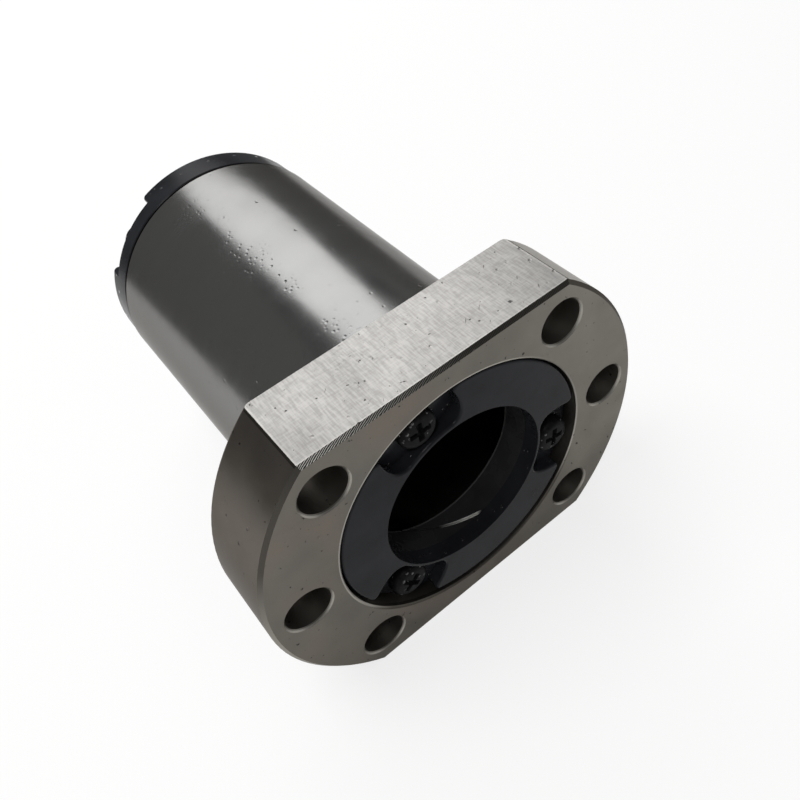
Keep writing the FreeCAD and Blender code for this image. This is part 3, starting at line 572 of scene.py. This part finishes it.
def closed_rows(points):
    """Vertices and faces of closed rings in order, with the middle of the first and last ring as poles.

    points has shape (shells, rows, columns, 3): each shell's rings join to the next by quads and to the poles
    by fans, and the faces of all shells are turned so that the enclosed volume is positive.
    """
    shells, rows, columns, _ = points.shape
    poles = points[:, [0, -1]].mean(axis=2)
    vertices = np.concatenate([points.reshape(shells, -1, 3), poles], axis=1)
    per_shell = rows * columns + 2
    grid = np.arange(rows * columns).reshape(rows, columns)
    after = np.roll(grid, -1, axis=1)
    quads = np.stack([grid[:-1], after[:-1], after[1:], grid[1:]], axis=-1).reshape(-1, 4)
    first = np.stack([np.full(columns, rows * columns), after[0], grid[0]], axis=-1)
    last = np.stack([np.full(columns, rows * columns + 1), grid[-1], after[-1]], axis=-1)
    fans = np.concatenate([first, last])
    triangles = np.concatenate([quads[:, [0, 1, 2]], quads[:, [0, 2, 3]], fans])
    corner = vertices[0][triangles] - vertices[0].mean(axis=0)
    volume = np.einsum("ij,ij->", corner[:, 0], np.cross(corner[:, 1], corner[:, 2]))
    if volume < 0:
        quads, fans = quads[:, ::-1], fans[:, ::-1]
    shift = (np.arange(shells) * per_shell)[:, None, None]
    quads = (quads[None] + shift).reshape(-1, 4)
    fans = (fans[None] + shift).reshape(-1, 3)
    return vertices.reshape(-1, 3), quads.tolist() + fans.tolist()


def new_piece(name, points, material, replaced, crease_deg):
    """Adds a piece from rings of points, smooth but for edges sharper than the crease angle."""
    vertices, faces = closed_rows(points)
    mesh = bpy.data.meshes.new(name)
    mesh.from_pydata(vertices, [], faces)
    mesh.shade_smooth()
    mesh.set_sharp_from_angle(angle=math.radians(crease_deg))
    piece = bpy.data.objects.new(name, mesh)
    bpy.context.collection.objects.link(piece)
    piece.data.materials.append(material)
    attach(piece, "root")
    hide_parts(replaced)


def screw_rings(sizes, head_radius, length):
    """Rings of a pan-head screw about Y, its seat at y = 0, its head towards -Y and its shank towards +Y.

    The head is a crown with a quarter-round edge, less a cross whose depth is its floor's depth times how far
    the point lies inside the cross's outline, over the flank. The shank's radius is the neck's plus the
    thread's depth times a triangle wave of turns, y over the pitch less the angle over a full turn.
    """
    angle = np.linspace(0, 2 * np.pi, SCREW_COLUMNS, endpoint=False)
    # Crown and rounded edge, from the middle outwards
    inner = np.linspace(0.04 * MM, head_radius - sizes.head_round, CROWN_ROWS)
    bend = np.linspace(0, np.pi / 2, ROUND_ROWS)[1:]
    crown = sizes.head_height - sizes.head_crown * (inner / inner[-1]) ** 2
    edge_radius = head_radius - sizes.head_round + sizes.head_round * np.sin(bend)
    edge_height = crown[-1] - sizes.head_round * (1 - np.cos(bend))
    # Side of the head, its underside and the start of the shank
    neck = sizes.shank_dia / 2 - sizes.thread_depth
    side_radius = np.array([head_radius, head_radius, neck])
    side_height = np.array([edge_height[-1] / 2, 0.0, 0.0])
    # Threaded shank, and the chamfer at its tip
    tip_start = length - sizes.screw_tip
    shank = np.linspace(0.05 * MM, tip_start, SHANK_ROWS)
    shank_radius = np.full(shank.shape, neck)
    tip = np.linspace(tip_start, length, TIP_ROWS)[1:]
    tip_radius = np.linspace(neck, neck / 2, TIP_ROWS)[1:]
    y = np.concatenate([-crown, -edge_height, -side_height, shank, tip])
    radius = np.concatenate([inner, edge_radius, side_radius, shank_radius, tip_radius])
    y = np.repeat(y[:, None], SCREW_COLUMNS, axis=1)
    radius = np.repeat(radius[:, None], SCREW_COLUMNS, axis=1)
    # Cross drive, whose floor rises towards the tips of its arms
    x, z = radius * np.cos(angle), radius * np.sin(angle)
    long_half, thin_half = sizes.drive_span / 2, sizes.drive_width / 2
    arm_x = np.minimum(long_half - np.abs(x), thin_half - np.abs(z))
    arm_z = np.minimum(long_half - np.abs(z), thin_half - np.abs(x))
    inside = np.clip(np.maximum(arm_x, arm_z) / sizes.drive_flank, 0, 1)
    rise = 0.45 * np.clip(radius / long_half, 0, 1)
    floor = sizes.drive_depth * (1 - rise)
    on_crown = np.arange(len(y))[:, None] < len(inner) + len(bend)
    y = y + np.where(on_crown, inside * floor, 0)
    # Thread, which runs out over its last turn
    turns = y / sizes.thread_pitch - angle / (2 * np.pi)
    wave = 1 - np.abs(2 * (turns - np.floor(turns)) - 1)
    grown = np.clip((tip_start - y) / sizes.thread_pitch, 0, 1)
    first_shank = len(inner) + len(bend) + len(side_radius)
    on_shank = (np.arange(len(y))[:, None] >= first_shank) & (y <= tip_start)
    radius = radius + np.where(on_shank, sizes.thread_depth * wave * grown, 0)
    return np.stack([radius * np.cos(angle), y, radius * np.sin(angle)], axis=-1)[None]


def ball_centres(node, radius):
    """Centres of the balls of a CAD group.

    Each face corner steps one radius inwards along its normal. The steps are counted in cells of a quarter of
    a radius, and cells within a radius of one another are one ball. A cell with under a twentieth of the
    fullest cell's steps, or a ball with under a quarter of the fullest ball's, is a stray.
    """
    mesh = node.data
    corners = np.empty(len(mesh.loops), dtype=np.int32)
    mesh.loops.foreach_get("vertex_index", corners)
    points = np.empty(len(mesh.vertices) * 3)
    mesh.vertices.foreach_get("co", points)
    normals = np.empty(len(mesh.loops) * 3)
    mesh.corner_normals.foreach_get("vector", normals)
    inward = points.reshape(-1, 3)[corners] - radius * normals.reshape(-1, 3)
    cells, cell_of, counts = np.unique(
        np.round(inward / (radius / 4)), axis=0, return_inverse=True, return_counts=True)
    sums = np.zeros(cells.shape)
    np.add.at(sums, cell_of.ravel(), inward)
    full = counts > counts.max() / 20
    sums, counts = sums[full], counts[full]
    middles = sums / counts[:, None]
    apart = np.linalg.norm(middles[:, None] - middles[None], axis=2)
    _, group = np.unique((apart < radius).argmax(axis=1), return_inverse=True)
    total = np.zeros((group.max() + 1, 4))
    np.add.at(total, group, np.column_stack([sums, counts]))
    total = total[total[:, 3] > total[:, 3].max() / 4]
    return total[:, :3] / total[:, 3:]


def ball_rings(centres, radius):
    """Rings of round balls about their centres: latitude by longitude, a radius away from each centre."""
    latitude = np.linspace(-np.pi / 2, np.pi / 2, BALL_ROWS)[1:-1, None]
    longitude = np.linspace(0, 2 * np.pi, BALL_COLUMNS, endpoint=False)[None]
    unit = np.stack([
        np.cos(latitude) * np.cos(longitude), np.cos(latitude) * np.sin(longitude),
        np.repeat(np.sin(latitude), BALL_COLUMNS, axis=1)], axis=-1)
    return centres[:, None, None] + radius * unit[None]


class BALLNUT_OT_finish_body(bpy.types.Operator):
    """Gives the steel body its ground, milled, faced, turned and drilled finishes"""

    bl_idname = "ballnut.finish_body"
    bl_label = "Steel body"

    def execute(self, context):
        give_material("nut_body", ground_bearing_steel(finishes()))
        return {"FINISHED"}


class BALLNUT_OT_finish_caps(bpy.types.Operator):
    """Gives both end caps their oily black moulded finish"""

    bl_idname = "ballnut.finish_caps"
    bl_label = "End caps"

    def execute(self, context):
        # The drops stand on the pockets' floors and walls
        material = moulded_black_acetal(
            "moulded_black_acetal", finishes().cap, gloss=0.14, peel_mm=1.2, peel_depth_mm=0.01,
            drops_between=(32.6, 34.4))
        for end in ENDS:
            give_material(f"{end}_end_cap", material)
        return {"FINISHED"}


class BALLNUT_OT_finish_wipers(bpy.types.Operator):
    """Gives the wiper rings their finish"""

    bl_idname = "ballnut.finish_wipers"
    bl_label = "Wiper rings"

    def execute(self, context):
        # The front ring's split, as a plane's normal and distance, and the same turned over for the rear ring
        splits = (((0.3345, 0.9397, -0.0711), -6.437), ((0.3345, -0.9397, 0.0711), -49.94))
        # The splits' edges and the lip get painted highlights
        material = moulded_black_acetal(
            "moulded_wiper_acetal", finishes().wiper, gloss=0.2, peel_mm=0.8, peel_depth_mm=0.012,
            split_highlights=splits, highlight_lip_mm=27.97)
        for end in ENDS:
            give_material(f"{end}_wiper", material)
        return {"FINISHED"}


class BALLNUT_OT_finish_deflectors(bpy.types.Operator):
    """Gives the deflectors their finish"""

    bl_idname = "ballnut.finish_deflectors"
    bl_label = "Deflectors"

    def execute(self, context):
        material = moulded_black_acetal(
            "moulded_deflector_nylon", finishes().deflector, gloss=0.35, peel_mm=0.5, peel_depth_mm=0.015)
        for end in ENDS:
            give_material(f"{end}_deflector", material)
        return {"FINISHED"}


class BALLNUT_OT_make_cap_screws(bpy.types.Operator):
    """Models the six cap screws, with a domed head, a cross drive and a thread"""

    bl_idname = "ballnut.make_cap_screws"
    bl_label = "Cap screws"

    def execute(self, context):
        sizes = context.scene.nut_sizes
        material = blackened_steel(finishes().screw)
        for number, name in enumerate(SCREWS):
            low, high = np.array(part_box(name))
            middle = (low + high) / 2
            head_radius = (high[0] - low[0]) / 2
            rings = screw_rings(sizes, head_radius, high[1] - low[1] - sizes.head_height)
            # Each screw stopped at its own angle, 0.7 radians past the one before
            turn = 0.7 * number
            x = rings[..., 0] * math.cos(turn) - rings[..., 2] * math.sin(turn)
            z = rings[..., 0] * math.sin(turn) + rings[..., 2] * math.cos(turn)
            rings = np.stack([x, rings[..., 1], z], axis=-1)
            if name.startswith("rear"):
                # Half a turn about X points the head to the rear
                rings = rings * np.array([1, -1, -1])
                seat = high[1] - sizes.head_height
            else:
                seat = low[1] + sizes.head_height
            rings = rings + np.array([middle[0], seat, middle[2]])
            new_piece(f"{name}_modelled", rings, material, name, crease_deg=35)
        return {"FINISHED"}


class BALLNUT_OT_make_balls(bpy.types.Operator):
    """Models the balls of the closed circuit, a group for each stretch"""

    bl_idname = "ballnut.make_balls"
    bl_label = "Balls"

    def execute(self, context):
        radius = context.scene.nut_sizes.ball_dia / 2
        material = polished_ball_steel(finishes().ball)
        for name in BALL_GROUPS:
            centres = ball_centres(NODES[name], radius)
            rings = ball_rings(centres, radius)
            new_piece(f"{name}_modelled", rings, material, name, crease_deg=60)
        return {"FINISHED"}


class BALLNUT_OT_set_stage(bpy.types.Operator):
    """Sets out the floor, the lamps, the surroundings and the camera"""

    bl_idname = "ballnut.set_stage"
    bl_label = "Stage"

    def execute(self, context):
        stage = context.scene.nut_stage
        self.lay_floor(stage)
        self.hang_lamps(stage)
        self.stand_flag(stage)
        self.light_surroundings(context.scene)
        self.place_camera(context.scene, stage)
        context.scene.view_settings.view_transform = "Standard"
        return {"FINISHED"}

    def lay_floor(self, stage):
        """A pale floor, which is white to the camera and in reflections, and keeps part of its shadow."""
        material, add = new_material("pale_studio_floor")
        path = add("ShaderNodeLightPath")
        white_to_camera, white_to_mirrors = 0.75, 0.35
        bent = add("ShaderNodeMath", {
            0: path.outputs["Is Glossy Ray"], 1: path.outputs["Is Transmission Ray"]}, operation="MAXIMUM")
        bent = add("ShaderNodeMath", {0: bent, 1: white_to_mirrors}, operation="MULTIPLY")
        share = add("ShaderNodeMath", {
            0: path.outputs["Is Camera Ray"], 1: white_to_camera, 2: bent}, operation="MULTIPLY_ADD")
        matt = add("ShaderNodeBsdfDiffuse", {"Color": opaque(stage.floor)})
        white = add("ShaderNodeEmission", {"Strength": 1.0})
        mixed = add("ShaderNodeMixShader", {0: share, 1: matt, 2: white})
        add("ShaderNodeOutputMaterial", {"Surface": mixed})
        half = stage.floor_half
        mesh = bpy.data.meshes.new("floor")
        corners = ((-half, -half), (half, -half), (half, half), (-half, half))
        mesh.from_pydata([(x, y, FLOOR_LEVEL) for x, y in corners], [], [(0, 1, 2, 3)])
        mesh.materials.append(material)
        floor = bpy.data.objects.new("floor", mesh)
        bpy.context.collection.objects.link(floor)

    def hang_lamps(self, stage):
        """A large lamp overhead that metal doesn't mirror, a small one in front, and a softbox behind.

        The softbox is what the flat and the body's top mirror.
        """
        middle = Vector((0, 0.02, 0))
        # Name, way out from the middle, way of its width, distance, size, power, and whether metal mirrors it
        lamps = (
            ("top_lamp", (-0.3, 0.2, 0.93), (1, 0, 0), 0.9, (0.5, 0.5), stage.top_watts, False),
            ("fill_lamp", (-0.3, -0.4, 0.87), (1, 0, 0), 0.9, (0.18, 0.18), stage.fill_watts, True),
            ("softbox", (0.2685, 0.742, 0.614), (0.907, -0.332, -0.246), 0.565, (0.34, 0.5),
             stage.box_watts, True),
        )
        for name, direction, along, distance, (wide, high), watts, mirrored in lamps:
            lamp = bpy.data.lights.new(name, "AREA")
            lamp.shape = "RECTANGLE"
            lamp.size, lamp.size_y = wide, high
            lamp.energy = watts
            lantern = bpy.data.objects.new(name, lamp)
            lantern.visible_glossy = mirrored
            bpy.context.collection.objects.link(lantern)
            out = Vector(direction).normalized()
            upright = out.cross(Vector(along)).normalized()
            turned = Matrix((upright.cross(out), upright, out)).transposed().to_4x4()
            lantern.matrix_world = Matrix.Translation(middle + out * distance) @ turned

    def stand_flag(self, stage):
        """A dark card behind the nut, for the dark bands in bright metal; only reflections see it."""
        material, add = new_material("dark_card")
        shader = add("ShaderNodeEmission", {"Color": opaque(stage.flag), "Strength": 1.0})
        add("ShaderNodeOutputMaterial", {"Surface": shader})
        # It stands on the floor, higher on the left than on the right, with a slope between
        half, low, high, behind = 0.8, 0.08, 0.24, 0.18
        outline = (
            (-half, FLOOR_LEVEL), (half, FLOOR_LEVEL), (half, low), (0.03, low), (-0.15, high), (-half, high))
        mesh = bpy.data.meshes.new("dark_card")
        mesh.from_pydata([(x, behind, z) for x, z in outline], [], [tuple(range(len(outline)))])
        mesh.materials.append(material)
        card = bpy.data.objects.new("dark_card", mesh)
        bpy.context.collection.objects.link(card)
        card.visible_camera = card.visible_diffuse = card.visible_shadow = False

    def light_surroundings(self, scene):
        """Surroundings that are pale near the floor and fall off to a dim room above."""
        world = bpy.data.worlds.new("studio_room")
        world.use_nodes = True
        world.node_tree.nodes.clear()
        add = partial(add_node, world.node_tree)
        way = add("ShaderNodeTexCoord").outputs["Generated"]
        rise = add("ShaderNodeSeparateXYZ", {0: way}).outputs["Z"]
        level = add("ShaderNodeMapRange", {
            "Value": rise, "From Min": 0.1, "From Max": 0.34, "To Min": 0.85, "To Max": 0.13},
            interpolation_type="SMOOTHSTEP")
        shine = add("ShaderNodeBackground", {"Color": opaque(linear("#ffffff")), "Strength": level})
        add("ShaderNodeOutputWorld", {"Surface": shine})
        scene.world = world

    def place_camera(self, scene, stage):
        """The camera stands off its target by azimuth and elevation, and rolls about its line of sight."""
        az, el, roll = stage.azimuth, stage.elevation, stage.roll
        back = Vector((math.sin(az) * math.cos(el), -math.cos(az) * math.cos(el), math.sin(el)))
        right = Vector((math.cos(az), math.sin(az), 0))
        up = back.cross(right)
        rolled_right = math.cos(roll) * right + math.sin(roll) * up
        rolled_up = -math.sin(roll) * right + math.cos(roll) * up
        turned = Matrix((rolled_right, rolled_up, back)).transposed().to_4x4()
        data = bpy.data.cameras.new("photo_camera")
        data.sensor_width = 36.0
        data.lens = stage.lens
        data.shift_x, data.shift_y = stage.shift
        data.clip_start = 0.005
        camera = bpy.data.objects.new("photo_camera", data)
        bpy.context.collection.objects.link(camera)
        camera.matrix_world = Matrix.Translation(Vector(stage.target) + back * stage.distance) @ turned
        scene.camera = camera


class BALLNUT_PT_pieces(bpy.types.Panel):
    """Lists the nut's pieces, finishes and stage"""

    bl_idname = "BALLNUT_PT_pieces"
    bl_label = "Ball nut"
    bl_space_type = "VIEW_3D"
    bl_region_type = "UI"
    bl_category = "Ball nut"

    def draw(self, context):
        for operator in OPERATORS:
            self.layout.operator(operator.bl_idname)
        for name in SETTINGS:
            group = getattr(context.scene, name)
            for prop in group.bl_rna.properties:
                if prop.identifier not in ("rna_type", "name"):
                    self.layout.prop(group, prop.identifier)


SETTINGS = {"nut_finishes": NutFinishes, "nut_sizes": NutSizes, "nut_stage": NutStage}
OPERATORS = (
    BALLNUT_OT_finish_body, BALLNUT_OT_finish_caps, BALLNUT_OT_finish_wipers, BALLNUT_OT_finish_deflectors,
    BALLNUT_OT_make_cap_screws, BALLNUT_OT_make_balls, BALLNUT_OT_set_stage,
)
CLASSES = (*SETTINGS.values(), *OPERATORS, BALLNUT_PT_pieces)


def register():
    """Registers the classes, and hangs the settings on the scene."""
    for item in CLASSES:
        bpy.utils.register_class(item)
    for name, group in SETTINGS.items():
        setattr(bpy.types.Scene, name, bpy.props.PointerProperty(type=group))


def unregister():
    """Takes the settings and the classes away again."""
    for name in SETTINGS:
        delattr(bpy.types.Scene, name)
    for item in reversed(CLASSES):
        bpy.utils.unregister_class(item)


def main():
    """Registers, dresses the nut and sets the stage."""
    register()
    bpy.ops.ballnut.finish_body()
    bpy.ops.ballnut.finish_caps()
    bpy.ops.ballnut.finish_wipers()
    bpy.ops.ballnut.finish_deflectors()
    bpy.ops.ballnut.make_cap_screws()
    bpy.ops.ballnut.make_balls()
    bpy.ops.ballnut.set_stage()


if __name__ == "__main__":
    main()
